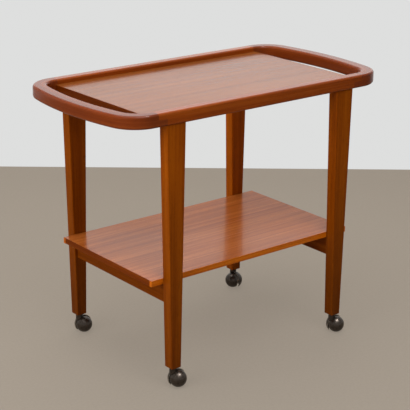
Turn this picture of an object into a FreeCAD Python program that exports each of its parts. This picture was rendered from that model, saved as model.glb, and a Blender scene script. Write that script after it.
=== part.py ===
import FreeCAD, Part
import math
import os

# A teak tea trolley: a tray with two bowed handles, four tapered legs, a lower shelf and ball casters.
# Lengths are in millimetres and angles in degrees. The origin is on the floor under the tray's centre,
# with X along the tray, Y across it and +Z up. The front is the -Y side and the left is the -X end.

# Tray: two straight rails and two bowed handles, half-lapped together, with a panel sunk between them
tray_length = 784.0
tray_width = 416.0
tray_height = 648.0
handle_reach = 96.0
rail_width = 27.0
rail_depth = 30.0
lap_length = 23.0
lap_tongue = 16.0
edge_rounding = 5.0
handle_width = 34.0
handle_bow_radius = 770.0
handle_corner_radius = 72.0
slot_corner_radius = 45.0
panel_overhang = 5.0
panel_thickness = 18.0
panel_recess = 12.0
panel_tongue_depth = 6.0
panel_tongue_thickness = 6.0
panel_side_gap = 0.2
tray_lipping_width = 8.0

# Legs: straight taper in width, even thickness, dowelled into the rails from below
leg_inset = 49.0
leg_setback = 3.5
leg_thickness = 27.0
leg_top_width = 51.0
leg_foot_width = 26.0
leg_rounding = 2.0
leg_dowel_diameter = 8.0
leg_dowel_length = 30.0
leg_dowel_spacing = 26.0

# Shelf: a lipped panel on two cross rails that run between the legs
shelf_height = 263.0
shelf_overhang = 48.0
shelf_thickness = 14.0
shelf_leg_gap = 0.5
shelf_lipping_width = 8.0
cross_rail_depth = 48.0
cross_rail_thickness = 18.0
cross_rail_rounding = 2.0
cross_dowel_diameter = 8.0
cross_dowel_length = 30.0
cross_dowel_spacing = 24.0
screw_spacing = 220.0
screw_diameter = 4.0
screw_bite = 9.0
screw_head_diameter = 8.0
screw_head_thickness = 3.0
screw_slot_width = 1.2
screw_slot_depth = 1.4
screw_pocket_diameter = 10.0
screw_pocket_depth = 18.0

# Ball casters: a hood on a swivelling stem, and a domed wheel on a level axle
caster_height = 49.0
caster_trail = 10.0
caster_offset = 6.0
wheel_diameter = 40.0
wheel_rim_setback = 5.0
wheel_wall = 2.5
hood_wall = 1.6
hood_room = 1.0
hood_setback = 3.0
hood_opening_setback = 7.0
hood_ground_gap = 4.0
hood_slant = 6.0
hub_diameter = 12.0
axle_diameter = 6.0
axle_seat = 11.0
axle_reach = 14.0
boss_diameter = 17.0
stem_diameter = 8.0
stem_seat = 6.0
stem_length = 30.0
stem_chamfer = 1.0
socket_wall = 1.5
socket_length = 32.0
flange_diameter = 17.0
flange_thickness = 1.2
caster_headings = {"front_left": -96.0, "back_left": -98.0, "front_right": -92.0, "back_right": 168.0}

# Fits and tolerances
glue_gap = 0.05
hole_end_gap = 1.0
running_gap = 0.05
thrust_gap = 0.3
swivel_gap = 0.4
cut_overrun = 1.0
same_place = 0.001

# Levels and places that several pieces share
tray_end = tray_length / 2
tray_side = tray_width / 2
rail_end = tray_end - handle_reach
rail_inner = tray_side - rail_width
rail_bottom = tray_height - rail_depth
lap_shoulder = rail_end - lap_length
lap_level = rail_bottom + lap_tongue
panel_end = rail_end + panel_overhang
panel_top = tray_height - panel_recess
panel_bottom = panel_top - panel_thickness
panel_middle = panel_top - panel_thickness / 2
panel_side = rail_inner - panel_side_gap
leg_x = rail_end - leg_inset
leg_outer = tray_side - leg_setback
leg_inner = leg_outer - leg_thickness
leg_y = leg_outer - leg_thickness / 2
leg_dowel_y = tray_side - rail_width / 2
shelf_bottom = shelf_height - shelf_thickness
shelf_end = leg_x + shelf_overhang
shelf_side = leg_inner - shelf_leg_gap
cross_rail_bottom = shelf_bottom - cross_rail_depth
cross_rail_middle = shelf_bottom - cross_rail_depth / 2
screw_head_level = cross_rail_bottom + screw_pocket_depth
wheel_radius = wheel_diameter / 2
hood_inner_radius = wheel_radius + hood_room
hood_outer_radius = hood_inner_radius + hood_wall
boss_top = caster_height - flange_thickness - swivel_gap

ends = {"left": -1, "right": 1}
sides = {"front": -1, "back": 1}


def place(x, y, z):
    """A point, or a step from one point to another."""
    return FreeCAD.Vector(x, y, z)


def block(low, high):
    """A box between two opposite corners."""
    return Part.makeBox(high.x - low.x, high.y - low.y, high.z - low.z, low)


def mirrored_block(low, high, end, side):
    """The same box on the other end or side of the trolley, where end or side is -1."""
    xs = sorted((low.x * end, high.x * end))
    ys = sorted((low.y * side, high.y * side))
    return block(place(xs[0], ys[0], low.z), place(xs[1], ys[1], high.z))


def rod(diameter, start, finish):
    """A round bar from one point to another."""
    return Part.makeCylinder(diameter / 2, (finish - start).Length, start, finish - start)


def rounded(shape, radius, wanted):
    """Rounds the edges that the given test picks out by their bounding boxes."""
    return shape.makeFillet(radius, [edge for edge in shape.Edges if wanted(edge.BoundBox)])


def save(name, *solids):
    """Writes one piece, or a group of like pieces, under its node's name."""
    found = [solid for shape in solids for solid in shape.Solids]
    piece = found[0] if len(found) == 1 else Part.makeCompound(found)
    piece.exportStep(os.path.join("parts", name + ".step"))


def dowel_hole(diameter, start, finish):
    """The hole for a dowel: a little wider, and a little deeper at both ends."""
    along = (finish - start).normalize() * hole_end_gap
    return rod(diameter + 2 * glue_gap, start - along, finish + along)


# Places of the fixings, each as a start point and an end point
def leg_dowels(end, side):
    """Two upright dowels across the joint between a leg's top and its rail."""
    spots = []
    for step in (-1, 1):
        x = end * leg_x + step * leg_dowel_spacing / 2
        low = place(x, side * leg_dowel_y, rail_bottom - leg_dowel_length / 2)
        spots.append((low, low + place(0, 0, leg_dowel_length)))
    return spots


def cross_dowels(end, side):
    """Two level dowels across the joint between a cross rail's end and a leg's inner face."""
    spots = []
    for step in (-1, 1):
        z = cross_rail_middle + step * cross_dowel_spacing / 2
        near = place(end * leg_x, side * (leg_inner - cross_dowel_length / 2), z)
        spots.append((near, near + place(0, side * cross_dowel_length, 0)))
    return spots


def screw_spots(end):
    """The two screws in a cross rail, from the seat of the head to the tip."""
    spots = []
    for side in sides.values():
        seat = place(end * leg_x, side * screw_spacing / 2, screw_head_level)
        spots.append((seat, place(seat.x, seat.y, shelf_bottom + screw_bite)))
    return spots


def turned_to_side(shape, side):
    """Turns a piece that is alike at both ends from the back of the trolley to the front."""
    if side < 0:
        return shape.rotated(place(0, 0, 0), place(0, 0, 1), 180)
    return shape


def rail(side):
    """A straight rail: upper half-lap tongues at both ends, and a groove for the panel's tongue."""
    bar = block(place(-rail_end, rail_inner, rail_bottom), place(rail_end, tray_side, tray_height))

    def shown_long_edge(box):
        inner_bottom = box.YMax < tray_side - same_place and box.ZMax < tray_height - same_place
        return box.XLength > 2 * rail_end - same_place and not inner_bottom

    bar = rounded(bar, edge_rounding, shown_long_edge)
    half_groove = panel_tongue_thickness / 2 + glue_gap
    groove_floor = rail_inner + panel_tongue_depth + glue_gap
    bar = bar.cut(block(
        place(-lap_shoulder, rail_inner - cut_overrun, panel_middle - half_groove),
        place(lap_shoulder, groove_floor, panel_middle + half_groove)))
    for end in ends.values():
        low = place(lap_shoulder, rail_inner - cut_overrun, rail_bottom - cut_overrun)
        high = place(rail_end + cut_overrun, tray_side + cut_overrun, lap_level)
        bar = bar.cut(mirrored_block(low, high, end, 1))
    bar = turned_to_side(bar, side)
    for end in ends.values():
        for start, finish in leg_dowels(end, side):
            bar = bar.cut(dowel_hole(leg_dowel_diameter, start, finish))
    return bar


def bowed_line(end_x, side_y, bow_radius, corner_radius):
    """A U seen from above: straight arms, round corners and a bowed end, from -Y to +Y."""
    bow_centre = place(end_x - bow_radius, 0, 0)
    corner_y = side_y - corner_radius
    corner_x = bow_centre.x + math.sqrt((bow_radius - corner_radius) ** 2 - corner_y ** 2)
    corner_centre = place(corner_x, corner_y, 0)
    outward = (corner_centre - bow_centre).normalize()
    tangent = bow_centre + outward * bow_radius
    halfway = (outward + place(0, 1, 0)).normalize()
    shoulder = place(lap_shoulder, side_y, 0)
    straight_end = place(corner_x, side_y, 0)
    corner_middle = corner_centre + halfway * corner_radius

    def front(point):
        return place(point.x, -point.y, point.z)

    return [
        Part.LineSegment(front(shoulder), front(straight_end)).toShape(),
        Part.Arc(front(straight_end), front(corner_middle), front(tangent)).toShape(),
        Part.Arc(front(tangent), place(end_x, 0, 0), tangent).toShape(),
        Part.Arc(tangent, corner_middle, straight_end).toShape(),
        Part.LineSegment(straight_end, shoulder).toShape(),
    ]


def handle(end):
    """A bowed handle: the end of the tray, with lower half-lap tongues under the rails' ends."""
    outer = bowed_line(tray_end, tray_side, handle_bow_radius, handle_corner_radius)
    inner = bowed_line(
        tray_end - handle_width, rail_inner, handle_bow_radius - handle_width, slot_corner_radius)
    cheeks = []
    for side in sides.values():
        cheeks.append(Part.LineSegment(
            place(lap_shoulder, side * rail_inner, 0), place(lap_shoulder, side * tray_side, 0)).toShape())
    outline = Part.Wire(Part.__sortEdges__(outer + inner + cheeks))
    bar = Part.Face(outline).extrude(place(0, 0, rail_depth))
    bar.translate(place(0, 0, rail_bottom))

    def long_edge(box):
        return box.ZLength < same_place and box.XLength > same_place

    bar = rounded(bar, edge_rounding, long_edge)
    bar = bar.cut(block(
        place(lap_shoulder - cut_overrun, -tray_side - cut_overrun, lap_level),
        place(rail_end, tray_side + cut_overrun, tray_height + cut_overrun)))
    if end < 0:
        bar = bar.rotated(place(0, 0, 0), place(0, 0, 1), 180)
    return bar


def tray_panel():
    """The veneered board between the rails, with a stopped tongue along each side."""
    core_end = panel_end - tray_lipping_width
    board = block(place(-core_end, -panel_side, panel_bottom), place(core_end, panel_side, panel_top))
    tongue_end = lap_shoulder - glue_gap
    tongue_side = rail_inner + panel_tongue_depth
    half_tongue = panel_tongue_thickness / 2
    return board.fuse(block(
        place(-tongue_end, -tongue_side, panel_middle - half_tongue),
        place(tongue_end, tongue_side, panel_middle + half_tongue))).removeSplitter()


def tray_lipping(end):
    """A solid strip on the end of the tray panel, beside the hand slot."""
    low = place(panel_end - tray_lipping_width, -panel_side, panel_bottom)
    return mirrored_block(low, place(panel_end, panel_side, panel_top), end, 1)


def leg(end, side):
    """A tapered leg with eased edges, bored for its dowels and for the caster's socket."""
    half_top = leg_top_width / 2
    half_foot = leg_foot_width / 2
    outline = [
        (-half_top, rail_bottom), (half_top, rail_bottom),
        (half_foot, caster_height), (-half_foot, caster_height)]
    points = [place(end * leg_x + x, side * leg_y - leg_thickness / 2, z) for x, z in outline]
    blank = Part.Face(Part.makePolygon(points + points[:1])).extrude(place(0, leg_thickness, 0))
    post = rounded(blank, leg_rounding, lambda box: box.ZMin < rail_bottom - same_place)
    for start, finish in leg_dowels(end, side):
        post = post.cut(dowel_hole(leg_dowel_diameter, start, finish))
    for start, finish in cross_dowels(end, side):
        post = post.cut(dowel_hole(cross_dowel_diameter, start, finish))
    foot = place(end * leg_x, side * leg_y, caster_height)
    socket_diameter = stem_diameter + 2 * (running_gap + socket_wall)
    hole_top = foot + place(0, 0, socket_length + hole_end_gap)
    return post.cut(rod(socket_diameter + 2 * glue_gap, foot - place(0, 0, cut_overrun), hole_top))


def cross_rail(end):
    """A rail on edge between two legs, pocketed from below for the shelf's screws."""
    half = cross_rail_thickness / 2
    bar = block(
        place(end * leg_x - half, -leg_inner, cross_rail_bottom),
        place(end * leg_x + half, leg_inner, shelf_bottom))

    def lower_long_edge(box):
        return box.YLength > leg_inner and box.ZMax < cross_rail_bottom + same_place

    bar = rounded(bar, cross_rail_rounding, lower_long_edge)
    for side in sides.values():
        for start, finish in cross_dowels(end, side):
            bar = bar.cut(dowel_hole(cross_dowel_diameter, start, finish))
    for seat, tip in screw_spots(end):
        pocket_mouth = place(seat.x, seat.y, cross_rail_bottom - cut_overrun)
        bar = bar.cut(rod(screw_pocket_diameter, pocket_mouth, seat))
        bar = bar.cut(dowel_hole(screw_diameter, seat, tip))
    return bar


def shelf_panel():
    """The veneered board of the shelf, inside its four lippings, with pilot holes for the screws."""
    core_end = shelf_end - shelf_lipping_width
    core_side = shelf_side - shelf_lipping_width
    board = block(place(-core_end, -core_side, shelf_bottom), place(core_end, core_side, shelf_height))
    for end in ends.values():
        for seat, tip in screw_spots(end):
            board = board.cut(dowel_hole(screw_diameter, seat, tip))
    return board


def shelf_side_lipping(side):
    """A solid strip along the whole front or back edge of the shelf."""
    low = place(-shelf_end, shelf_side - shelf_lipping_width, shelf_bottom)
    return mirrored_block(low, place(shelf_end, shelf_side, shelf_height), 1, side)


def shelf_end_lipping(end):
    """A solid strip across one end of the shelf, between the front and back lippings."""
    core_side = shelf_side - shelf_lipping_width
    low = place(shelf_end - shelf_lipping_width, -core_side, shelf_bottom)
    return mirrored_block(low, place(shelf_end, core_side, shelf_height), end, 1)


def shelf_screw(seat, tip):
    """A slotted screw: its head below the seat, its shank up to the tip."""
    head_bottom = seat - place(0, 0, screw_head_thickness)
    screw = rod(screw_head_diameter, head_bottom, seat).fuse(rod(screw_diameter, seat, tip))
    half_width = screw_slot_width / 2
    half_length = screw_head_diameter / 2 + cut_overrun
    slot = block(
        head_bottom - place(half_length, half_width, cut_overrun),
        head_bottom + place(half_length, half_width, screw_slot_depth))
    return screw.cut(slot)


def beside_stem(shape):
    """Moves a shape made about the wheel's centre, with the axle along X, to its place by the stem."""
    return shape.translated(place(caster_offset, caster_trail, wheel_radius))


def caster_wheel():
    """The dome that rolls on the floor: rather more than half of the ball, turned about its axle."""
    rim = -wheel_rim_setback
    inner_radius = wheel_radius - wheel_wall
    hub_radius = hub_diameter / 2
    bore_radius = axle_diameter / 2 + running_gap
    hub_face = rim + thrust_gap / 2
    bore_end = rim + axle_reach + hole_end_gap

    def on_sphere(radius, along):
        return place(along, 0, math.sqrt(radius ** 2 - along ** 2))

    outer_rim = on_sphere(wheel_radius, rim)
    inner_rim = on_sphere(inner_radius, rim)
    hub_root = place(math.sqrt(inner_radius ** 2 - hub_radius ** 2), 0, hub_radius)
    pole = place(wheel_radius, 0, 0)
    outer_middle = (outer_rim + pole).normalize() * wheel_radius
    inner_middle = (inner_rim + hub_root).normalize() * inner_radius
    section = [
        Part.Arc(outer_rim, outer_middle, pole).toShape(),
        Part.makePolygon([
            pole, place(bore_end, 0, 0), place(bore_end, 0, bore_radius),
            place(hub_face, 0, bore_radius), place(hub_face, 0, hub_radius), hub_root]),
        Part.Arc(hub_root, inner_middle, inner_rim).toShape(),
        Part.LineSegment(inner_rim, outer_rim).toShape(),
    ]
    outline = Part.Wire(Part.__sortEdges__([edge for part in section for edge in part.Edges]))
    return beside_stem(Part.Face(outline).revolve(place(0, 0, 0), place(1, 0, 0), 360))


def caster_hood():
    """The shell over the wheel's back and top, with the axle's hub inside and the stem's boss on it."""
    centre = place(-hood_setback, 0, 0)
    cavity = Part.makeSphere(hood_inner_radius, centre)
    reach = 2 * hood_outer_radius
    opening = block(place(0, -reach, -reach), place(reach, reach, reach))
    opening = opening.rotated(place(0, 0, 0), place(0, 1, 0), hood_slant)
    opening = opening.translated(place(-hood_opening_setback, 0, 0))
    ground = block(place(-reach, -reach, -reach), place(reach, reach, hood_ground_gap - wheel_radius))
    shell = Part.makeSphere(hood_outer_radius, centre).cut(cavity).cut(opening).cut(ground)
    hub_face = -wheel_rim_setback - thrust_gap / 2
    hub_root = -hood_setback - (hood_inner_radius + hood_outer_radius) / 2
    hub = rod(hub_diameter, place(hub_root, 0, 0), place(hub_face, 0, 0))
    hub = hub.common(Part.makeSphere(hood_outer_radius, centre))
    axle_hole_end = -wheel_rim_setback - axle_seat - hole_end_gap
    axle_hole = rod(axle_diameter + 2 * glue_gap, place(axle_hole_end, 0, 0), place(0, 0, 0))
    boss_x = -caster_offset
    boss_y = -caster_trail
    boss_height = boss_top - wheel_radius
    boss = rod(boss_diameter, place(boss_x, boss_y, 0), place(boss_x, boss_y, boss_height)).cut(cavity)
    seat = rod(
        stem_diameter + 2 * glue_gap,
        place(boss_x, boss_y, boss_height - stem_seat), place(boss_x, boss_y, boss_height + cut_overrun))
    return beside_stem(shell.fuse([hub, boss]).removeSplitter().cut([axle_hole, seat]))


def caster_axle():
    """The level pin that is pressed into the hood's hub and carries the wheel."""
    return beside_stem(rod(
        axle_diameter,
        place(-wheel_rim_setback - axle_seat, 0, 0), place(axle_reach - wheel_rim_setback, 0, 0)))


def caster_stem():
    """The upright pin that is pressed into the hood's boss and turns in the leg's socket."""
    top = boss_top + stem_length
    pin = rod(stem_diameter, place(0, 0, boss_top - stem_seat), place(0, 0, top))
    tip = [edge for edge in pin.Edges if edge.BoundBox.ZMin > top - same_place]
    return pin.makeChamfer(stem_chamfer, tip)


def caster_socket():
    """The flanged sleeve that is pressed into the foot of the leg."""
    bore = stem_diameter + 2 * running_gap
    foot = place(0, 0, caster_height)
    sleeve = rod(bore + 2 * socket_wall, foot, foot + place(0, 0, socket_length))
    flange_bottom = foot - place(0, 0, flange_thickness)
    sleeve = sleeve.fuse(rod(flange_diameter, flange_bottom, foot)).removeSplitter()
    drill_end = foot + place(0, 0, socket_length + cut_overrun)
    return sleeve.cut(rod(bore, flange_bottom - place(0, 0, cut_overrun), drill_end))


def under_leg(shape, end, side, heading):
    """Turns a caster's piece to its heading and moves it under its leg."""
    turned = shape.rotated(place(0, 0, 0), place(0, 0, 1), heading)
    return turned.translated(place(end * leg_x, side * leg_y, 0))


os.makedirs("parts", exist_ok=True)

save("tray_panel", tray_panel())
save("shelf_panel", shelf_panel())
for side_name, side in sides.items():
    save(side_name + "_rail", rail(side))
    save("shelf_" + side_name + "_lipping", shelf_side_lipping(side))
for end_name, end in ends.items():
    save(end_name + "_handle", handle(end))
    save("tray_" + end_name + "_lipping", tray_lipping(end))
    save(end_name + "_cross_rail", cross_rail(end))
    save("shelf_" + end_name + "_lipping", shelf_end_lipping(end))

corners = [(end, side) for end in ends.values() for side in sides.values()]
save("leg_dowels", *[
    rod(leg_dowel_diameter, *spot) for corner in corners for spot in leg_dowels(*corner)])
save("cross_rail_dowels", *[
    rod(cross_dowel_diameter, *spot) for corner in corners for spot in cross_dowels(*corner)])
save("shelf_screws", *[shelf_screw(*spot) for end in ends.values() for spot in screw_spots(end)])

caster_pieces = {
    "caster_socket": caster_socket(),
    "caster_stem": caster_stem(),
    "caster_hood": caster_hood(),
    "wheel_axle": caster_axle(),
    "wheel": caster_wheel(),
}
for side_name, side in sides.items():
    for end_name, end in ends.items():
        corner_name = side_name + "_" + end_name
        save(corner_name + "_leg", leg(end, side))
        for piece_name, piece in caster_pieces.items():
            placed = under_leg(piece, end, side, caster_headings[corner_name])
            save(corner_name + "_" + piece_name, placed)
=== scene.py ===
import math
import bmesh
import bpy
from mathutils import Matrix, Vector


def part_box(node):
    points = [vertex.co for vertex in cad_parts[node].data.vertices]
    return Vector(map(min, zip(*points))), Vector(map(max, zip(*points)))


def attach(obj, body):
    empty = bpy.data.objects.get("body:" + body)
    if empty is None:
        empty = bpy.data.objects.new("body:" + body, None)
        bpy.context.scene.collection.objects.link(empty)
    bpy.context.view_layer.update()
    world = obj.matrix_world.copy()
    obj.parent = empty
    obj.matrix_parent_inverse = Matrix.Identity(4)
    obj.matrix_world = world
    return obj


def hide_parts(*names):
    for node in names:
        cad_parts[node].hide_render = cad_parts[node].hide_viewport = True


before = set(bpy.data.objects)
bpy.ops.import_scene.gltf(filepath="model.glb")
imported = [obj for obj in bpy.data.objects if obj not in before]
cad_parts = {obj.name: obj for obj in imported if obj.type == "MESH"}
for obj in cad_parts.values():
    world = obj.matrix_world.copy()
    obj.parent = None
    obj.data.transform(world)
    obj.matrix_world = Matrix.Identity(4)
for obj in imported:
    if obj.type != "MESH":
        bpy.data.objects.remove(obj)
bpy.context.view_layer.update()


# Front and back rails. Two straight bars of solid teak, sawn along the grain, rounded and lacquered.
# At each end the upper half runs on over the handle's tongue, as a glued half-lap joint.
def add(nodes, kind, **inputs):
    """A shader node with its unlinked inputs set by name."""
    node = nodes.new(kind)
    for name, value in inputs.items():
        node.inputs[name].default_value = value
    return node


def new_material(name):
    """A material, its nodes and links, and its shader."""
    material = bpy.data.materials.new(name)
    material.use_nodes = True
    nodes = material.node_tree.nodes
    return material, nodes, material.node_tree.links, nodes["Principled BSDF"]


def remap(nodes, links, value, start, finish, low, high):
    """The values from start to finish, carried over to those from low to high."""
    ends = {"From Min": start, "From Max": finish, "To Min": low, "To Max": high}
    node = add(nodes, "ShaderNodeMapRange", **ends)
    links.new(value, node.inputs["Value"])
    return node.outputs["Result"]


def combine(nodes, links, operation, first, second):
    """Two values made one by the operation."""
    node = nodes.new("ShaderNodeMath")
    node.operation = operation
    links.new(first, node.inputs[0])
    links.new(second, node.inputs[1])
    return node.outputs["Value"]


def tint(nodes, links, value, *stops):
    """Colours blended from stop to stop. A stop is a level of the value and the colour there."""
    node = nodes.new("ShaderNodeValToRGB")
    marks = node.color_ramp.elements
    while len(marks) < len(stops):
        marks.new(1.0)
    for mark, (level, colour) in zip(marks, stops):
        mark.position = level
        mark.color = (*colour, 1)
    links.new(value, node.inputs["Fac"])
    return node.outputs["Color"]


# Nearly all of a noise pattern lies between these two values.
noise_low, noise_high = 0.3, 0.7


def teak(name, turn, deep, middle, pale, figure, satin, lacquer, shift=(0, 0, 0), bent=False, foot=1.0):
    """Lacquered teak: broad ribbons, fine growth lines and short dark pores, along X before the turn.
    On a bent bar the grain follows the bar, by the lengths and widths in its map. Low down the colour
    can be darker, by the foot's share, as painted shade for the light that falls off towards the floor."""
    line_share = 0.42
    deep_level, middle_level, pale_level = 0.36, 0.5, 0.66
    pore_start, pore_full, pore_strength = 0.60, 0.72, 0.55
    pore_shares = (0.35, 0.3, 0.3)
    wear_share = 0.10
    # Heights where the painted shade towards the floor is deepest and where it ends.
    painted_shade_bottom, painted_shade_top = 0.06, 0.50
    sheen_below, sheen_above = 0.05, 0.07
    relief_share, relief_depth = 0.12, 0.0004
    lacquer_shine, lacquer_coat, coat_roughness = 0.5, 0.7, 0.08

    material, nodes, links, shader = new_material(name)
    coords = nodes.new("ShaderNodeTexCoord")
    place = coords.outputs["Object"]
    height = nodes.new("ShaderNodeSeparateXYZ")
    links.new(place, height.inputs["Vector"])
    if bent:
        bar_map = nodes.new("ShaderNodeUVMap")
        bar_map.uv_map = "unrolled"
        unrolled = nodes.new("ShaderNodeSeparateXYZ")
        links.new(bar_map.outputs["UV"], unrolled.inputs["Vector"])
        straight = nodes.new("ShaderNodeCombineXYZ")
        for axis, source in (("X", unrolled), ("Y", unrolled), ("Z", height)):
            links.new(source.outputs[axis], straight.inputs[axis])
        place = straight.outputs["Vector"]
    lay = add(nodes, "ShaderNodeMapping", Rotation=turn, Location=shift)
    links.new(place, lay.inputs["Vector"])

    def grain(along, across, **texture):
        """Noise at so many cycles a metre along the grain and across it."""
        stretched = add(nodes, "ShaderNodeMapping", Scale=(along, across, across))
        links.new(lay.outputs["Vector"], stretched.inputs["Vector"])
        noise = add(nodes, "ShaderNodeTexNoise", Scale=1.0, **texture)
        links.new(stretched.outputs["Vector"], noise.inputs["Vector"])
        return noise.outputs["Fac"]

    ribbons = grain(along=1.1, across=figure, Detail=2.0, Roughness=0.5, Distortion=0.2)
    lines = grain(along=5.0, across=figure * 5, Detail=3.0, Roughness=0.6, Distortion=0.1)
    pores = grain(along=70.0, across=1900.0, Detail=1.0, Roughness=0.5)
    weather = grain(along=3.0, across=3.0, Detail=2.0, Roughness=0.5)

    tone = add(nodes, "ShaderNodeMix", Factor=line_share)
    links.new(ribbons, tone.inputs["A"])
    links.new(lines, tone.inputs["B"])
    wood = tint(nodes, links, tone.outputs["Result"], (deep_level, deep), (middle_level, middle), (pale_level, pale))
    pored = remap(nodes, links, pores, pore_start, pore_full, 0.0, pore_strength)
    specked = nodes.new("ShaderNodeMix")
    specked.data_type = "RGBA"
    specked.inputs["B"].default_value = (*[colour * share for colour, share in zip(deep, pore_shares)], 1)
    links.new(pored, specked.inputs["Factor"])
    links.new(wood, specked.inputs["A"])

    wear = remap(nodes, links, weather, noise_low, noise_high, 1 - wear_share, 1 + wear_share)
    # Painted shade: the colour darkens from the upper height down to the lower one, to the foot's share.
    painted_foot_shade = remap(nodes, links, height.outputs["Z"], painted_shade_bottom, painted_shade_top, foot, 1.0)
    aged = nodes.new("ShaderNodeHueSaturation")
    links.new(combine(nodes, links, "MULTIPLY", wear, painted_foot_shade), aged.inputs["Value"])
    links.new(specked.outputs["Result"], aged.inputs["Color"])
    links.new(aged.outputs["Color"], shader.inputs["Base Color"])

    sheen = remap(nodes, links, lines, noise_low, noise_high, satin - sheen_below, satin + sheen_above)
    links.new(sheen, shader.inputs["Roughness"])
    bump = add(nodes, "ShaderNodeBump", Strength=relief_share, Distance=relief_depth)
    links.new(combine(nodes, links, "SUBTRACT", lines, pored), bump.inputs["Height"])
    links.new(bump.outputs["Normal"], shader.inputs["Normal"])
    shader.inputs["Specular IOR Level"].default_value = lacquer_shine * lacquer
    shader.inputs["Coat Weight"].default_value = lacquer_coat * lacquer
    shader.inputs["Coat Roughness"].default_value = coat_roughness
    return material


along_x = (0, 0, 0)
along_y = (0, 0, math.radians(90))
along_z = (0, math.radians(90), 0)


def finish_piece(name, bm, material, body, slot, *nodes):
    """Makes the mesh an object that rides on its body in place of its CAD nodes. Its sharper edges stay crisp."""
    crisp_angle = math.radians(40)
    bmesh.ops.recalc_face_normals(bm, faces=bm.faces)
    for face in bm.faces:
        face.smooth = True
    for edge in bm.edges:
        edge.smooth = len(edge.link_faces) != 2 or edge.calc_face_angle() < crisp_angle
    mesh = bpy.data.meshes.new(name)
    bm.to_mesh(mesh)
    bm.free()
    mesh.materials.append(material)
    piece = bpy.data.objects.new(name, mesh)
    bpy.context.scene.collection.objects.link(piece)
    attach(piece, body)
    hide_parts(*nodes)
    return piece


def even_shading(piece):
    """Keeps the broad faces flat to the light beside their rounded edges."""
    flat = piece.modifiers.new("Even shading", "WEIGHTED_NORMAL")
    flat.keep_sharp = True


def points_in(geometry):
    """The vertices among the results of an operator."""
    return [part for part in geometry if isinstance(part, bmesh.types.BMVert)]


def prism(bm, outline, step):
    """A flat outline pushed along one step."""
    face = bm.faces.new([bm.verts.new(point) for point in outline])
    pushed = bmesh.ops.extrude_face_region(bm, geom=[face])["geom"]
    bmesh.ops.translate(bm, verts=points_in(pushed), vec=step)


def round_edges(bm, radius, segments, wanted):
    """Rounds the edges whose two ends pass the test."""
    edges = [e for e in bm.edges if wanted(e.verts[0].co, e.verts[1].co)]
    bmesh.ops.bevel(bm, geom=edges, offset=radius, offset_type="OFFSET", affect="EDGES",
                    segments=segments, profile=0.5, material=-1)


rail_end = 0.296
lap_shoulder = 0.273
lap_level = 0.634
rail_rounding = 0.005
rail_end_easing = 0.0003
# Points closer than a hair are taken to be in one place.
hair = 0.00001

rail_teak = teak("rail_teak", along_x, (0.19, 0.030, 0.0006), (0.242, 0.042, 0.001), (0.30, 0.059, 0.002),
                 figure=60, satin=0.25, lacquer=0.18)

for rail_name, side in (("front_rail", -1), ("back_rail", 1)):
    low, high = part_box(rail_name)
    outside = low.y if side < 0 else high.y
    bm = bmesh.new()
    prism(bm, [(-rail_end, low.y, high.z), (rail_end, low.y, high.z), (rail_end, low.y, lap_level),
               (lap_shoulder, low.y, lap_level), (lap_shoulder, low.y, low.z), (-lap_shoulder, low.y, low.z),
               (-lap_shoulder, low.y, lap_level), (-rail_end, low.y, lap_level)], (0, high.y - low.y, 0))

    def long_edge(a, b):
        """Both top edges, and the bottom edge on the outside of the tray."""
        lengthwise = abs(a.x - b.x) > 2 * lap_shoulder - hair
        at_top = min(a.z, b.z) > high.z - hair
        at_outer_bottom = max(a.z, b.z) < low.z + hair and abs(a.y - outside) < hair
        return lengthwise and (at_top or at_outer_bottom)

    round_edges(bm, rail_rounding, segments=6, wanted=long_edge)
    round_edges(bm, rail_end_easing, segments=2, wanted=lambda a, b: min(abs(a.x), abs(b.x)) > rail_end - hair)
    even_shading(finish_piece(rail_name + "_bar", bm, rail_teak, "frame", "teak", rail_name))


# Left and right handles. Each is one bowed bar of solid teak with large round corners, shaped by hand so
# that it is rounder at its middle, where it is held. Its lower tongues lie under the ends of the rails.
tray_end = 0.392
bow_radius = 0.770
handle_corner_radius = 0.072
slot_corner_radius = 0.045
arm_width = 0.027
handle_width = 0.034
grip_rounding = 0.0065
grip_run = 0.10
angle_slack = 0.001
corner_steps = 18
bow_steps = 28

handle_teak = teak("handle_teak", along_x, (0.135, 0.022, 0.0035), (0.175, 0.031, 0.0050), (0.225, 0.046, 0.0075),
                   figure=55, satin=0.22, lacquer=0.14, shift=(0.13, 0.4, 0.2), bent=True)

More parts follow.
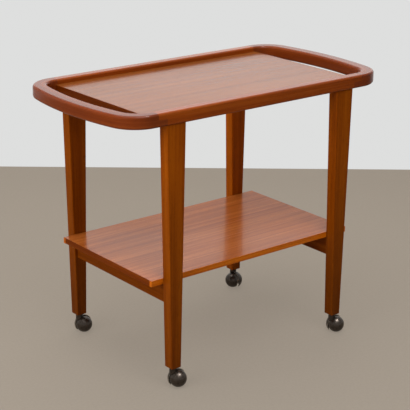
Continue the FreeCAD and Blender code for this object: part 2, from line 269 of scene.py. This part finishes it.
for handle_name, end in (("left_handle", -1), ("right_handle", 1)):
    low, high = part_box(handle_name)
    tray_side = high.y
    bow_centre = Vector((tray_end - bow_radius, 0, 0))
    corner_y = tray_side - handle_corner_radius
    corner_run = math.sqrt((bow_radius - handle_corner_radius) ** 2 - corner_y ** 2)
    slot_run = math.sqrt((bow_radius - handle_width - slot_corner_radius) ** 2 - corner_y ** 2)
    handle_corner = Vector((bow_centre.x + corner_run, corner_y, 0))
    bow_angle = math.atan2(corner_y, corner_run)
    corner_angle = math.pi / 2 - bow_angle

    bm = bmesh.new()
    section = [bm.verts.new((rail_end, y, z)) for y, z in (
        (tray_side, low.z), (tray_side, lap_level), (tray_side, high.z),
        (tray_side - arm_width, high.z), (tray_side - arm_width, lap_level), (tray_side - arm_width, low.z))]
    bm.faces.new([section[0], section[1], section[4], section[5]])
    bm.faces.new([section[1], section[2], section[3], section[4]])
    bmesh.ops.bevel(bm, geom=[section[0], section[2], section[3], section[5]], offset=rail_rounding,
                    offset_type="OFFSET", affect="VERTICES", segments=7, profile=0.5, material=-1)
    bar_end = bm.verts[:] + bm.edges[:] + bm.faces[:]

    def push(step):
        """Draws the bar on from its end, straight."""
        pushed = bmesh.ops.extrude_face_region(bm, geom=bar_end)["geom"]
        bmesh.ops.translate(bm, verts=points_in(pushed), vec=step)
        return pushed

    def sweep(centre, angle, steps):
        """Draws the bar on from its end, round a centre."""
        return bmesh.ops.spin(bm, geom=bar_end, cent=centre, axis=(0, 0, -1), angle=angle, steps=steps)["geom_last"]

    bar_end = push((handle_corner.x - rail_end, 0, 0))
    bar_end = sweep(handle_corner, corner_angle, corner_steps)
    bar_end = sweep(bow_centre, 2 * bow_angle, bow_steps)
    bar_end = sweep(Vector((handle_corner.x, -handle_corner.y, 0)), corner_angle, corner_steps)
    bar_end = push((rail_end - handle_corner.x, 0, 0))
    bmesh.ops.remove_doubles(bm, verts=bm.verts, dist=hair)

    def on_bar(spot):
        """Where a point lies on the bar: its centre, the way out from it, the bar's radius and width there,
        the length of bar so far, and the point's depth in it."""
        flat = Vector((spot.x, abs(spot.y), 0))
        turn = flat - handle_corner
        if turn.x < hair:
            centre, way, radius, width, run = Vector((spot.x, 0, 0)), Vector((0, 1, 0)), tray_side, arm_width, spot.x
        elif math.atan2(turn.y, turn.x) > bow_angle - angle_slack:
            centre, way, radius = handle_corner, turn.normalized(), handle_corner_radius
            offset = corner_run - slot_run
            slot = math.sqrt(slot_corner_radius ** 2 - (offset * way.y) ** 2) - offset * way.x
            width = handle_corner_radius - slot
            run = handle_corner.x + handle_corner_radius * (math.pi / 2 - math.atan2(turn.y, turn.x))
        else:
            centre, way, radius, width = bow_centre, (flat - bow_centre).normalized(), bow_radius, handle_width
            run = handle_corner.x + handle_corner_radius * corner_angle
            run += bow_radius * (bow_angle - math.atan2(way.y, way.x))
        return centre, way, radius, width, run, radius - (flat - centre).length

    for vert in bm.verts:
        centre, way, radius, width, run, depth = on_bar(vert.co)
        held = min(1, max(0, (run - rail_end) / grip_run))
        swell = 1 + (grip_rounding / rail_rounding - 1) * held * held * (3 - 2 * held)
        if depth < arm_width / 2:
            depth *= swell
        else:
            depth = width - (arm_width - depth) * swell
        flat = centre + way * (radius - depth)
        if high.z - vert.co.z < rail_rounding + hair:
            vert.co.z = high.z - (high.z - vert.co.z) * swell
        elif vert.co.z - low.z < rail_rounding + hair:
            vert.co.z = low.z + (vert.co.z - low.z) * swell
        vert.co.x = flat.x
        vert.co.y = math.copysign(flat.y, vert.co.y)

    for face in [f for f in bm.faces if max(abs(v.co.x - rail_end) for v in f.verts) < hair
                 and f.calc_center_median().z < lap_level]:
        tongue = bmesh.ops.extrude_discrete_faces(bm, faces=[face])["faces"][0]
        bmesh.ops.translate(bm, verts=tongue.verts, vec=(lap_shoulder - rail_end, 0, 0))

    unrolled = bm.loops.layers.uv.new("unrolled")
    *_, middle_run, _ = on_bar(Vector((tray_end, 0, 0)))
    for face in bm.faces:
        side = math.copysign(1, face.calc_center_median().y)
        for loop in face.loops:
            *_, run, depth = on_bar(loop.vert.co)
            loop[unrolled].uv = (side * (middle_run - run), depth)
    if end < 0:
        bmesh.ops.rotate(bm, verts=bm.verts, cent=(0, 0, 0), matrix=Matrix.Rotation(math.pi, 3, "Z"))
    even_shading(finish_piece(handle_name + "_bar", bm, handle_teak, "frame", "teak", handle_name))


# Tray panel. A board faced with straight teak veneer, sunk between the rails and tongued into them.
# A thin solid strip closes each open end of it, beside the hand slot.
tray_edge_easing = 0.0006

tray_veneer = teak("tray_veneer", along_x, (0.175, 0.045, 0.008), (0.205, 0.056, 0.010), (0.24, 0.070, 0.013),
                   figure=60, satin=0.19, lacquer=0.14, shift=(0.3, 0.0, 0.1))
end_lipping_teak = teak("end_lipping_teak", along_y, (0.115, 0.018, 0.0006), (0.15, 0.026, 0.0009),
                        (0.19, 0.037, 0.0016), figure=80, satin=0.32, lacquer=0.06)


def board(bm, low, high):
    """A rectangular board between two opposite corners."""
    made = bmesh.ops.create_cube(bm, size=1.0)["verts"]
    bmesh.ops.scale(bm, verts=made, vec=high - low)
    bmesh.ops.translate(bm, verts=made, vec=(low + high) / 2)
    return made


def edge_strip(name, material, veneer, node, outward, easing):
    """A solid strip glued to the edge of a board, under the veneer, with the arrises of its open face broken."""
    upright = 0.99
    low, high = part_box(node)
    face_level = max(low.dot(outward), high.dot(outward))
    bm = bmesh.new()
    board(bm, low, high)
    round_edges(bm, easing, segments=3,
                wanted=lambda a, b: min(a.dot(outward), b.dot(outward)) > face_level - hair)
    bm.normal_update()
    for face in bm.faces:
        face.material_index = 1 if face.normal.z > upright else 0
    strip = finish_piece(name, bm, material, "frame", "teak_lipping", node)
    strip.data.materials.append(veneer)
    even_shading(strip)


def dress(node, material):
    """Gives a CAD piece its finish."""
    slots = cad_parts[node].data.materials
    slots.clear()
    slots.append(material)


dress("tray_panel", tray_veneer)
for end_name, end in (("left", -1), ("right", 1)):
    edge_strip("tray_" + end_name + "_strip", end_lipping_teak, tray_veneer, "tray_" + end_name + "_lipping",
               Vector((end, 0, 0)), tray_edge_easing)


# Legs. Four posts of solid teak, tapered in width towards the foot and even in thickness, with soft edges.
# Each leg's colour is scaled by its own share, as painted light and shade for how the light falls on it, and low
# down it darkens as painted shade. Two dowels fix the top under the rail, and the foot is bored for the caster.
leg_foot_share = 26 / 51
leg_rounding = 0.002
leg_colours = (0.20, 0.038, 0.0006), (0.27, 0.057, 0.0010), (0.34, 0.081, 0.002)
# Painted light and shade: each leg's colour is scaled by its share, lighter where light falls on it, darker in shade.
leg_painted_light_shares = {"front_left": 1.14, "front_right": 0.94, "back_left": 0.92, "back_right": 1.75}

for corner_name, tone in leg_painted_light_shares.items():
    deep, middle, pale = [tuple(tone * part for part in colour) for colour in leg_colours]
    # Painted shade: low down each leg darkens to 0.56 of its colour.
    leg_teak = teak(corner_name + "_teak", along_z, deep, middle, pale, figure=55, satin=0.38, lacquer=0.05,
                    shift=(0.1, 0.2, 0.3), foot=0.56)
    low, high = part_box(corner_name + "_leg")
    centre = (low + high) / 2
    bm = bmesh.new()
    foot = [v for v in board(bm, low, high) if v.co.z < centre.z]
    bmesh.ops.scale(bm, verts=foot, vec=(leg_foot_share, 1, 1), space=Matrix.Translation(-centre))
    round_edges(bm, leg_rounding, segments=5, wanted=lambda a, b: min(a.z, b.z) < centre.z)
    even_shading(finish_piece(corner_name + "_post", bm, leg_teak, "frame", "teak", corner_name + "_leg"))

dowel_wood = teak("dowel_wood", along_z, (0.42, 0.25, 0.12), (0.50, 0.31, 0.16), (0.58, 0.38, 0.21),
                  figure=300, satin=0.5, lacquer=0.3)
dress("leg_dowels", dowel_wood)


# Cross rails. Two teak bars on edge, dowelled between the legs under the ends of the shelf.
# The shelf is held down on them by two slotted screws in each, from pockets below.
cross_teak = teak("cross_teak", along_y, (0.125, 0.024, 0.0006), (0.17, 0.035, 0.001), (0.22, 0.050, 0.002),
                  figure=60, satin=0.40, lacquer=0.03, shift=(0.0, 0.3, 0.1))


def metal(name, dark, pale, metallic, smooth, dull, patina_scale):
    """Metal with a cloudy patina, a little rougher where it is dull."""
    dark_level, pale_level = 0.35, 0.68
    relief_share, relief_depth = 0.05, 0.0002
    material, nodes, links, shader = new_material(name)
    coords = nodes.new("ShaderNodeTexCoord")
    patina = add(nodes, "ShaderNodeTexNoise", Scale=patina_scale, Detail=5.0, Roughness=0.6)
    links.new(coords.outputs["Object"], patina.inputs["Vector"])
    cloud = patina.outputs["Fac"]
    links.new(tint(nodes, links, cloud, (dark_level, dark), (pale_level, pale)), shader.inputs["Base Color"])
    links.new(remap(nodes, links, cloud, noise_low, noise_high, smooth, dull), shader.inputs["Roughness"])
    bump = add(nodes, "ShaderNodeBump", Strength=relief_share, Distance=relief_depth)
    links.new(cloud, bump.inputs["Height"])
    links.new(bump.outputs["Normal"], shader.inputs["Normal"])
    shader.inputs["Metallic"].default_value = metallic
    return material


steel = metal("steel", (0.30, 0.29, 0.28), (0.48, 0.47, 0.45), metallic=1.0, smooth=0.25, dull=0.45, patina_scale=300)

for end_name in ("left", "right"):
    dress(end_name + "_cross_rail", cross_teak)
dress("cross_rail_dowels", dowel_wood)
dress("shelf_screws", steel)


# Shelf. A board faced with ribbon-striped teak veneer, edged all round with solid strips of teak, the long ones
# paler. The long strips run the full length, and the short ones fit between them.
shelf_edge_easing = 0.0008

shelf_veneer = teak("shelf_veneer", along_x, (0.33, 0.072, 0.010), (0.43, 0.112, 0.019), (0.54, 0.160, 0.032),
                    figure=85, satin=0.21, lacquer=0.21, shift=(0.6, 0.05, 0.0))
lipping_teak = teak("lipping_teak", along_x, (0.44, 0.090, 0.003), (0.56, 0.130, 0.004), (0.68, 0.178, 0.006),
                    figure=80, satin=0.27, lacquer=0.12)

dress("shelf_panel", shelf_veneer)
for edge_name, strip_teak, outward in (
        ("front", lipping_teak, (0, -1, 0)), ("back", lipping_teak, (0, 1, 0)),
        ("left", end_lipping_teak, (-1, 0, 0)), ("right", end_lipping_teak, (1, 0, 0))):
    edge_strip("shelf_" + edge_name + "_strip", strip_teak, shelf_veneer, "shelf_" + edge_name + "_lipping",
               Vector(outward), shelf_edge_easing)


# Ball casters. Under each leg a bronzed hood turns on a steel stem, which is held in a flanged socket.
# A domed wheel closes the ball and rolls on a level axle inside the hood.
wheel_radius = 0.020
wheel_rim = -0.005
wheel_wall = 0.0025
worn_band = 0.0012
hub_radius = 0.006
hub_clearance = 0.00015
hub_bite = 0.0005
axle_hole_radius = 0.00305
axle_hole_end = 0.010
hood_radius = 0.0226
hood_wall = 0.0016
hood_setback = 0.003
hood_opening = -0.007
hood_slant = math.radians(6)
hood_ground_gap = 0.004
lip_low, lip_high = math.radians(50), math.radians(130)
boss_radius = 0.0085
boss_top = 0.0474
boss_seat = 0.0213
boss_rings = 3
caster_trail = 0.010
caster_offset = 0.006
caster_headings = {"front_left": -96, "back_left": -98, "front_right": -92, "back_right": 168}
ball_steps = 72
hub_steps = 40
# On the casters, points are merged only where they are this close.
speck = 0.000001
crosswise = Matrix.Rotation(math.radians(90), 3, "Y")

bronze = metal("bronze", (0.034, 0.024, 0.017), (0.058, 0.043, 0.032), metallic=0.6, smooth=0.24, dull=0.36,
               patina_scale=120)
worn_rim = metal("worn_rim", (0.30, 0.26, 0.21), (0.48, 0.43, 0.37), metallic=0.7, smooth=0.25, dull=0.40,
                 patina_scale=260)


def wheel_dome():
    """A half ball with a wall, a hub and the axle's blind hole, turned about X. Its rim is worn bright."""
    inner_radius = wheel_radius - wheel_wall
    rim_angle = math.acos(wheel_rim / wheel_radius)
    inner_rim_angle = math.acos(wheel_rim / inner_radius)
    hub_root_angle = math.asin(hub_radius / inner_radius)
    hub_face = wheel_rim + hub_clearance
    bm = bmesh.new()

    def arc(radius, start, finish, steps):
        """Part of the dome's outline, by angles from X."""
        first = bm.verts.new((radius * math.cos(start), 0, radius * math.sin(start)))
        bmesh.ops.spin(bm, geom=[first], cent=(0, 0, 0), axis=(0, 1, 0), angle=start - finish, steps=steps)

    arc(wheel_radius, 0, rim_angle, steps=24)
    arc(inner_radius, hub_root_angle, inner_rim_angle, steps=14)
    inner_rim_radius = inner_radius * math.sin(inner_rim_angle)
    inner_rim = (wheel_rim, 0, inner_rim_radius)
    outer_rim = (wheel_rim, 0, wheel_radius * math.sin(rim_angle))
    hub_outline = [(inner_radius * math.cos(hub_root_angle), 0, hub_radius), (hub_face, 0, hub_radius),
                   (hub_face, 0, axle_hole_radius), (axle_hole_end, 0, axle_hole_radius), (axle_hole_end, 0, 0)]
    for start, finish in [(inner_rim, outer_rim), *zip(hub_outline, hub_outline[1:])]:
        bm.edges.new((bm.verts.new(start), bm.verts.new(finish)))
    bmesh.ops.remove_doubles(bm, verts=bm.verts, dist=speck)
    bmesh.ops.spin(bm, geom=bm.verts[:] + bm.edges[:], cent=(0, 0, 0), axis=(1, 0, 0), angle=2 * math.pi,
                   steps=ball_steps, use_merge=True)
    bmesh.ops.remove_doubles(bm, verts=bm.verts, dist=speck)
    bmesh.ops.dissolve_degenerate(bm, edges=bm.edges, dist=speck)
    for face in bm.faces:
        spot = face.calc_center_median()
        on_rim = spot.x < wheel_rim + worn_band and math.hypot(spot.y, spot.z) > inner_rim_radius
        face.material_index = 1 if on_rim else 0
    return bm


def united(*meshes):
    """Closed shapes joined as one skin, with nothing left inside it."""
    shapes = []
    for bm in meshes:
        bmesh.ops.recalc_face_normals(bm, faces=bm.faces)
        mesh = bpy.data.meshes.new("shape")
        bm.to_mesh(mesh)
        bm.free()
        shapes.append(bpy.data.objects.new("shape", mesh))
        bpy.context.scene.collection.objects.link(shapes[-1])
    for other in shapes[1:]:
        union = shapes[0].modifiers.new("Union", "BOOLEAN")
        union.operation = "UNION"
        union.solver = "EXACT"
        union.object = other
    whole = bmesh.new()
    whole.from_object(shapes[0], bpy.context.evaluated_depsgraph_get())
    for shape in shapes:
        bpy.data.meshes.remove(shape.data)
    bmesh.ops.remove_doubles(whole, verts=whole.verts, dist=hair)
    bmesh.ops.dissolve_degenerate(whole, edges=whole.edges, dist=hair)
    return whole


def hood_shell():
    """A part of a ball, open to the wheel and cut off above the floor, with the stem's boss and the axle's hub."""
    shell = bmesh.new()
    bmesh.ops.create_uvsphere(shell, u_segments=ball_steps, v_segments=ball_steps // 2, radius=hood_radius)
    bmesh.ops.rotate(shell, verts=shell.verts, cent=(0, 0, 0), matrix=crosswise)
    bmesh.ops.translate(shell, verts=shell.verts, vec=(-hood_setback, 0, 0))
    for place, outward in (((hood_opening, 0, 0), (math.cos(hood_slant), 0, -math.sin(hood_slant))),
                           ((0, 0, hood_ground_gap - wheel_radius), (0, 0, -1))):
        everything = shell.verts[:] + shell.edges[:] + shell.faces[:]
        bmesh.ops.bisect_plane(shell, geom=everything, dist=speck, plane_co=place, plane_no=outward, clear_outer=True)
    bmesh.ops.recalc_face_normals(shell, faces=shell.faces)
    bmesh.ops.solidify(shell, geom=shell.faces[:], thickness=hood_wall)
    for face in shell.faces:
        lean = face.normal.angle(face.calc_center_median() + Vector((hood_setback, 0, 0)))
        face.material_index = 1 if lip_low < lean < lip_high else 0

    boss = bmesh.new()
    bmesh.ops.create_circle(boss, cap_ends=True, segments=hub_steps, radius=boss_radius)
    disc = boss.faces[:]
    for ring in range(boss_rings):
        bmesh.ops.inset_region(boss, faces=disc, thickness=boss_radius / (boss_rings + 1), use_even_offset=True)
    foot = boss.verts[:]
    head = points_in(bmesh.ops.extrude_face_region(boss, geom=boss.faces[:])["geom"])
    bmesh.ops.translate(boss, verts=boss.verts, vec=(-caster_offset, -caster_trail, 0))
    for vert in foot:
        vert.co.z = math.sqrt(boss_seat ** 2 - (vert.co.x + hood_setback) ** 2 - vert.co.y ** 2)
    for vert in head:
        vert.co.z = boss_top - wheel_radius

    hub = bmesh.new()
    root = -hood_setback - hood_radius + hood_wall - hub_bite
    tip = wheel_rim - hub_clearance
    bmesh.ops.create_cone(hub, cap_ends=True, segments=hub_steps, radius1=hub_radius, radius2=hub_radius,
                          depth=tip - root)
    bmesh.ops.rotate(hub, verts=hub.verts, cent=(0, 0, 0), matrix=crosswise)
    bmesh.ops.translate(hub, verts=hub.verts, vec=((tip + root) / 2, 0, 0))
    return united(shell, boss, hub)


for corner_name, heading in caster_headings.items():
    low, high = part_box(corner_name + "_leg")
    under_leg = Matrix.Translation(((low.x + high.x) / 2, (low.y + high.y) / 2, 0))
    by_stem = under_leg @ Matrix.Rotation(math.radians(heading), 4, "Z")
    by_stem = by_stem @ Matrix.Translation((caster_offset, caster_trail, wheel_radius))
    for bm, piece_name, body, node in ((wheel_dome(), "_dome", "_roller", "_wheel"),
                                       (hood_shell(), "_shell", "_caster", "_caster_hood")):
        bmesh.ops.transform(bm, matrix=by_stem, verts=bm.verts)
        piece = finish_piece(corner_name + piece_name, bm, bronze, corner_name + body, "bronzed_metal",
                             corner_name + node)
        piece.data.materials.append(worn_rim)
    for node in ("_caster_socket", "_caster_stem", "_wheel_axle"):
        dress(corner_name + node, steel)


# Studio. A pale floor, a pale wall behind the trolley that is open from its back, and broad soft lamps.
# The camera stands in front of the left end, a little above the tray, as the photograph was taken.
camera_azimuth = math.radians(-38.7292)
camera_elevation = math.radians(18.835)
camera_roll = math.radians(0.4481)
camera_place = Vector((-1.88287, -2.34170, 1.35603))
focal_pixels = 1320.8575
image_pixels = 410
sensor_width = 36

back = Vector((math.sin(camera_azimuth) * math.cos(camera_elevation),
               -math.cos(camera_azimuth) * math.cos(camera_elevation), math.sin(camera_elevation)))
right = Vector((math.cos(camera_azimuth), math.sin(camera_azimuth), 0))
up = back.cross(right)
across = right * math.cos(camera_roll) + up * math.sin(camera_roll)
upward = up * math.cos(camera_roll) - right * math.sin(camera_roll)
camera_data = bpy.data.cameras.new("camera")
camera_data.sensor_width = sensor_width
camera_data.lens = focal_pixels / image_pixels * sensor_width
camera = bpy.data.objects.new("camera", camera_data)
camera.matrix_world = Matrix((across, upward, back)).transposed().to_4x4()
camera.location = camera_place
bpy.context.scene.collection.objects.link(camera)
bpy.context.scene.camera = camera


def plainly_seen(nodes, links):
    """One for rays from the camera, reflections and clear pieces, and zero for the rays that light the scene."""
    path = nodes.new("ShaderNodeLightPath")
    seen = path.outputs["Is Camera Ray"]
    for way in ("Is Glossy Ray", "Is Transmission Ray"):
        seen = combine(nodes, links, "MAXIMUM", seen, path.outputs[way])
    return seen


def stage_material(name, colour, shown, plain_share, speckle):
    """A matt stage surface, of which the camera and reflections see a share at its own plain colour.
    It is clear from behind."""
    dark_share, pale_share = 0.86, 1.1
    material, nodes, links, shader = new_material(name)
    material.use_backface_culling = True
    shader.inputs["Roughness"].default_value = 0.9
    shader.inputs["Specular IOR Level"].default_value = 0.1
    coords = nodes.new("ShaderNodeTexCoord")
    cloud = add(nodes, "ShaderNodeTexNoise", Scale=speckle, Detail=4.0, Roughness=0.7)
    links.new(coords.outputs["Object"], cloud.inputs["Vector"])
    paint = tint(nodes, links, cloud.outputs["Fac"], (noise_low, [c * dark_share for c in colour]),
                 (noise_high, [c * pale_share for c in colour]))
    links.new(paint, shader.inputs["Base Color"])
    share = nodes.new("ShaderNodeMath")
    share.operation = "MULTIPLY"
    share.inputs[1].default_value = plain_share
    links.new(plainly_seen(nodes, links), share.inputs[0])
    glow = add(nodes, "ShaderNodeEmission", Color=(*shown, 1), Strength=1.0)
    clear = nodes.new("ShaderNodeBsdfTransparent")
    facing = nodes.new("ShaderNodeNewGeometry")

    def blend(factor, first, second):
        """The first shader where the factor is zero, and the second where it is one."""
        mix = nodes.new("ShaderNodeMixShader")
        for socket, source in enumerate((factor, first, second)):
            links.new(source, mix.inputs[socket])
        return mix.outputs["Shader"]

    pale = blend(share.outputs["Value"], shader.outputs["BSDF"], glow.outputs["Emission"])
    front_only = blend(facing.outputs["Backfacing"], pale, clear.outputs["BSDF"])
    links.new(front_only, nodes["Material Output"].inputs["Surface"])
    return material


def stage_piece(name, bm, material):
    """Puts a mesh on the stage, around the trolley."""
    mesh = bpy.data.meshes.new(name)
    bm.to_mesh(mesh)
    bm.free()
    mesh.materials.append(material)
    piece = bpy.data.objects.new(name, mesh)
    bpy.context.scene.collection.objects.link(piece)


floor_reach = 60
floor_paint = stage_material("floor_paint", (0.34, 0.29, 0.235), (0.36, 0.31, 0.255), plain_share=0.7, speckle=160)
bm = bmesh.new()
bmesh.ops.create_grid(bm, x_segments=1, y_segments=1, size=floor_reach)
stage_piece("floor", bm, floor_paint)

wall_distance = 4.372
wall_size = Vector((10, 6, 1))
wall_paint = stage_material("wall_paint", (0.74, 0.74, 0.73), (0.73, 0.735, 0.73), plain_share=1.0, speckle=3)
forward = Vector((-back.x, -back.y, 0)).normalized()
wall_foot = Vector((camera_place.x, camera_place.y, 0)) + forward * wall_distance
bm = bmesh.new()
bmesh.ops.create_grid(bm, x_segments=1, y_segments=1, size=0.5)
bmesh.ops.scale(bm, verts=bm.verts, vec=wall_size)
for angle, axis in ((math.radians(90), "X"), (camera_azimuth, "Z")):
    bmesh.ops.rotate(bm, verts=bm.verts, cent=(0, 0, 0), matrix=Matrix.Rotation(angle, 3, axis))
bmesh.ops.translate(bm, verts=bm.verts, vec=wall_foot + Vector((0, 0, wall_size.y / 2)))
stage_piece("wall", bm, wall_paint)


def lamp(name, size, power, place, target, reflected=True, lights=True):
    """A broad square lamp that faces a point. It may be left out of reflections, or be seen only in them."""
    light = bpy.data.lights.new(name, "AREA")
    light.size = size
    light.energy = power
    fixture = bpy.data.objects.new(name, light)
    fixture.location = place
    fixture.rotation_euler = (Vector(target) - Vector(place)).to_track_quat("-Z", "Y").to_euler()
    fixture.visible_glossy = reflected
    fixture.visible_diffuse = lights
    bpy.context.scene.collection.objects.link(fixture)


lamp("left_lamp", size=2.2, power=58, place=(-2.6, -0.3, 1.3), target=(0, 0, 0.45), reflected=False)
lamp("front_lamp", size=1.5, power=36, place=(-0.4, -1.5, 2.6), target=(0, 0, 0.5))
lamp("top_lamp", size=1.8, power=36, place=(-0.4, 0.2, 2.9), target=(0, 0, 0.4))
lamp("back_lamp", size=2.0, power=11, place=(0.75, 0.94, 1.7), target=(0, 0, 1.7))
lamp("right_lamp", size=2.2, power=16, place=(2.8, 0.2, 1.5), target=(0, 0, 0.45), reflected=False)
lamp("glint_lamp", size=0.7, power=80, place=(0.3, -1.1, 2.9), target=(0, 0, 0.6), lights=False)

room_colour = (0.97, 0.98, 1.0)
room_light, room_shown = 0.10, 0.74
world = bpy.data.worlds.new("world")
world.use_nodes = True
nodes, links = world.node_tree.nodes, world.node_tree.links
background = nodes["Background"]
background.inputs["Color"].default_value = (*room_colour, 1)
brightness = remap(nodes, links, plainly_seen(nodes, links), 0.0, 1.0, room_light, room_shown)
links.new(brightness, background.inputs["Strength"])
bpy.context.scene.world = world
bpy.context.scene.view_settings.view_transform = "Standard"
